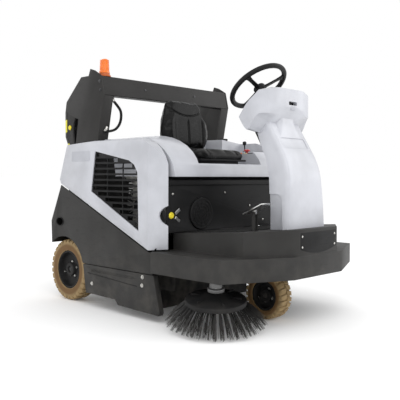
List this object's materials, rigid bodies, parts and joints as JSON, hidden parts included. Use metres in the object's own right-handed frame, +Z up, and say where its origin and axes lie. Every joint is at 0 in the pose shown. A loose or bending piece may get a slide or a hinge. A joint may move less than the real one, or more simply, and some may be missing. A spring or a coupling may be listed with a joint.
{
  "type": "ride-on sweeper",
  "caption": "Ride-on floor sweeper with a seat and steering column, a tilted side broom, a cylinder broom under the body and a rear hopper on a mast that lifts it to dump.",
  "frame": {"origin": "centre of the bounding box's bottom, on the ground", "axes": "+Z up, -Y is the direction of travel, the operator's right is -X"},
  "size_m": [1.1744, 1.5686, 1.3643],
  "materials": {
    "light_panel": "smooth satin light grey moulding",
    "dark_panel": "fine-grained dark grey moulding",
    "mast_paint": "dark grey powder coat",
    "black_moulding": "black moulding",
    "black_vinyl": "black vinyl seat skin",
    "frame_paint": "black frame paint",
    "bare_metal": "plain zinc-plated steel",
    "sheet_metal": "dark grey sheet",
    "tan_tyre": "tan non-marking tread",
    "bristle": "black bristle",
    "amber_lens": "clear amber",
    "amber_foot": "dark amber",
    "red_button": "signal red",
    "yellow_knob": "signal yellow",
    "flap_rubber": "black rubber",
    "engine_casting": "grey casting",
    "chrome_rod": "polished rod"
  },
  "bodies": {
    "chassis": {"chassis_frame": "frame_paint", "front_bumper": "dark_panel", "bumper_access_plate": "black_moulding", "column_cover": "light_panel", "column_rear_cover": "black_moulding", "dash_head": "light_panel", "control_panel": "black_moulding", "steering_tube": "bare_metal", "seat_box_panel": "black_moulding", "vent_cover": "black_moulding", "right_side_panel": "light_panel", "left_side_panel": "light_panel", "right_grille": "black_moulding", "left_grille": "black_moulding", "right_lower_panel": "dark_panel", "left_lower_panel": "dark_panel", "right_mast_plate": "mast_paint", "left_mast_plate": "mast_paint", "mast_crossbar": "mast_paint", "beacon_base": "amber_foot", "beacon_lens": "amber_lens", "engine_block": "engine_casting", "muffler": "bare_metal", "hydraulic_hose": "flap_rubber", "front_rubber_flap": "flap_rubber"},
    "front_fork": {"front_fork": "frame_paint"},
    "front_wheel": {"front_rim": "black_moulding", "front_tyre": "tan_tyre"},
    "steering_wheel": {"steering_wheel": "black_moulding"},
    "right_rear_wheel": {"right_rear_rim": "black_moulding", "right_rear_tyre": "tan_tyre"},
    "left_rear_wheel": {"left_rear_rim": "black_moulding", "left_rear_tyre": "tan_tyre"},
    "main_broom_arm": {"broom_arm": "frame_paint"},
    "main_broom": {"broom_core": "bare_metal", "broom_bristles": "bristle"},
    "side_broom_arm": {"side_broom_arm": "frame_paint", "side_broom_motor": "bare_metal"},
    "side_broom": {"broom_disc": "black_moulding", "side_bristles": "bristle"},
    "lift_arms": {"right_lift_arm": "frame_paint", "left_lift_arm": "frame_paint", "lift_axle": "bare_metal"},
    "hopper": {"hopper": "sheet_metal"},
    "dump_flap": {"dump_flap": "sheet_metal"},
    "right_barrel": {"right_cylinder_barrel": "frame_paint"},
    "left_barrel": {"left_cylinder_barrel": "frame_paint"},
    "right_rod": {"right_cylinder_rod": "chrome_rod"},
    "left_rod": {"left_cylinder_rod": "chrome_rod"},
    "seat_deck": {"seat_deck": "light_panel"},
    "seat": {"seat_slide": "frame_paint", "seat_cushion": "black_vinyl"},
    "backrest": {"seat_backrest": "black_vinyl"},
    "hopper_lever": {"hopper_lever": "black_moulding"},
    "emergency_button": {"emergency_button": "red_button"},
    "accelerator_pedal": {"accelerator_pedal": "bare_metal"},
    "brake_pedal": {"brake_pedal": "bare_metal"},
    "latch_knob": {"latch_knob": "yellow_knob"},
    "right_skirt_door": {"right_skirt_door": "dark_panel"},
    "left_skirt_door": {"left_skirt_door": "dark_panel"}
  },
  "joints": [
    {"name": "steer_fork", "type": "hinge", "parent": "chassis", "child": "front_fork", "pos_m": [0.04922, -0.51, 0.2], "axis": [0, 0, 1], "range_deg": [-75, 75]},
    {"name": "front_wheel_roll", "type": "hinge", "parent": "front_fork", "child": "front_wheel", "pos_m": [0.00422, -0.51, 0.12], "axis": [1, 0, 0], "continuous": true},
    {"name": "steering_wheel_turn", "type": "hinge", "parent": "chassis", "child": "steering_wheel", "pos_m": [0.04922, -0.403, 1.19], "axis": [0, 0.6074, 0.7944], "range_deg": [-345, 345]},
    {"name": "main_broom_lift", "type": "hinge", "parent": "chassis", "child": "main_broom_arm", "pos_m": [0.04922, 0.325, 0.3], "axis": [-1, 0, 0], "range_deg": [0, 8]},
    {"name": "main_broom_spin", "type": "hinge", "parent": "main_broom_arm", "child": "main_broom", "pos_m": [0.04922, 0.135, 0.14], "axis": [1, 0, 0], "continuous": true},
    {"name": "side_broom_lift", "type": "hinge", "parent": "chassis", "child": "side_broom_arm", "pos_m": [-0.29608, -0.235, 0.303], "axis": [-1, 0, 0], "range_deg": [0, 10]},
    {"name": "side_broom_spin", "type": "hinge", "parent": "side_broom_arm", "child": "side_broom", "pos_m": [-0.38178, -0.505, 0.15432], "axis": [-0.1106, -0.1106, 0.9877], "continuous": true},
    {"name": "hopper_lift", "type": "hinge", "parent": "chassis", "child": "lift_arms", "pos_m": [0.04922, 0.575, 0.994], "axis": [1, 0, 0], "range_deg": [0, 110]},
    {"name": "hopper_level", "type": "hinge", "parent": "lift_arms", "child": "hopper", "pos_m": [0.04922, 0.575, 0.594], "axis": [1, 0, 0], "range_deg": [-110, 0]},
    {"name": "dump_flap_open", "type": "hinge", "parent": "hopper", "child": "dump_flap", "pos_m": [0.04922, 0.776, 0.48], "axis": [1, 0, 0], "range_deg": [0, 80]},
    {"name": "seat_deck_tilt", "type": "hinge", "parent": "chassis", "child": "seat_deck", "pos_m": [0.50922, 0.605, 0.915], "axis": [0, 1, 0], "range_deg": [0, 60]},
    {"name": "seat_slide_forward", "type": "slide", "parent": "seat_deck", "child": "seat", "axis": [0, -1, 0], "range_m": [0, 0.075]},
    {"name": "backrest_tilt", "type": "hinge", "parent": "seat", "child": "backrest", "pos_m": [0.04922, 0.135, 0.85], "axis": [1, 0, 0], "range_deg": [0, 25]},
    {"name": "hopper_lever_tilt", "type": "hinge", "parent": "seat_deck", "child": "hopper_lever", "pos_m": [0.42422, 0.005, 0.858], "axis": [1, 0, 0], "range_deg": [-18, 18], "stiffness_Nm_per_rad": 0.5},
    {"name": "emergency_button_press", "type": "slide", "parent": "seat_deck", "child": "emergency_button", "axis": [0, 0, -1], "range_m": [0, 0.004], "stiffness_N_per_m": 500},
    {"name": "accelerator_rock", "type": "hinge", "parent": "chassis", "child": "accelerator_pedal", "pos_m": [-0.16578, -0.56, 0.54], "axis": [1, 0, 0], "range_deg": [-10, 10], "stiffness_Nm_per_rad": 20},
    {"name": "brake_press", "type": "hinge", "parent": "chassis", "child": "brake_pedal", "pos_m": [0.26422, -0.57, 0.52], "axis": [1, 0, 0], "range_deg": [0, 12], "stiffness_Nm_per_rad": 20},
    {"name": "latch_turn", "type": "hinge", "parent": "chassis", "child": "latch_knob", "pos_m": [-0.37578, -0.195, 0.522], "axis": [0, 1, 0], "range_deg": [0, 90]},
    {"name": "right_wheel_roll", "type": "hinge", "parent": "chassis", "child": "right_rear_wheel", "pos_m": [-0.40028, 0.605, 0.175], "axis": [1, 0, 0], "continuous": true},
    {"name": "right_cylinder_tilt", "type": "hinge", "parent": "chassis", "child": "right_barrel", "pos_m": [-0.39078, 0.51072, 0.43], "axis": [-1, 0, 0], "range_deg": [0, 1.71]},
    {"name": "right_rod_slide", "type": "slide", "parent": "right_barrel", "child": "right_rod", "axis": [0, 0, -1], "range_m": [0, 0.16299]},
    {"name": "right_skirt_swing", "type": "hinge", "parent": "chassis", "child": "right_skirt_door", "pos_m": [-0.47578, 0.605, 0.23], "axis": [0, 1, 0], "range_deg": [0, 95]},
    {"name": "left_wheel_roll", "type": "hinge", "parent": "chassis", "child": "left_rear_wheel", "pos_m": [0.49872, 0.605, 0.175], "axis": [1, 0, 0], "continuous": true},
    {"name": "left_cylinder_tilt", "type": "hinge", "parent": "chassis", "child": "left_barrel", "pos_m": [0.48922, 0.51072, 0.43], "axis": [-1, 0, 0], "range_deg": [0, 1.71]},
    {"name": "left_rod_slide", "type": "slide", "parent": "left_barrel", "child": "left_rod", "axis": [0, 0, -1], "range_m": [0, 0.16299]},
    {"name": "left_skirt_swing", "type": "hinge", "parent": "chassis", "child": "left_skirt_door", "pos_m": [0.57422, 0.605, 0.23], "axis": [0, -1, 0], "range_deg": [0, 95]}
  ],
  "couplings": [
    {"joint": "steering_wheel_turn", "follows": "steer_fork", "ratio": 4.6},
    {"joint": "hopper_level", "follows": "hopper_lift", "ratio": -1},
    {"joint": "right_cylinder_tilt", "follows": "hopper_lift", "ratio": 0.015574},
    {"joint": "right_rod_slide", "follows": "hopper_lift", "m_per_rad": 0.084899},
    {"joint": "left_cylinder_tilt", "follows": "hopper_lift", "ratio": 0.015574},
    {"joint": "left_rod_slide", "follows": "hopper_lift", "m_per_rad": 0.084899}
  ]
}
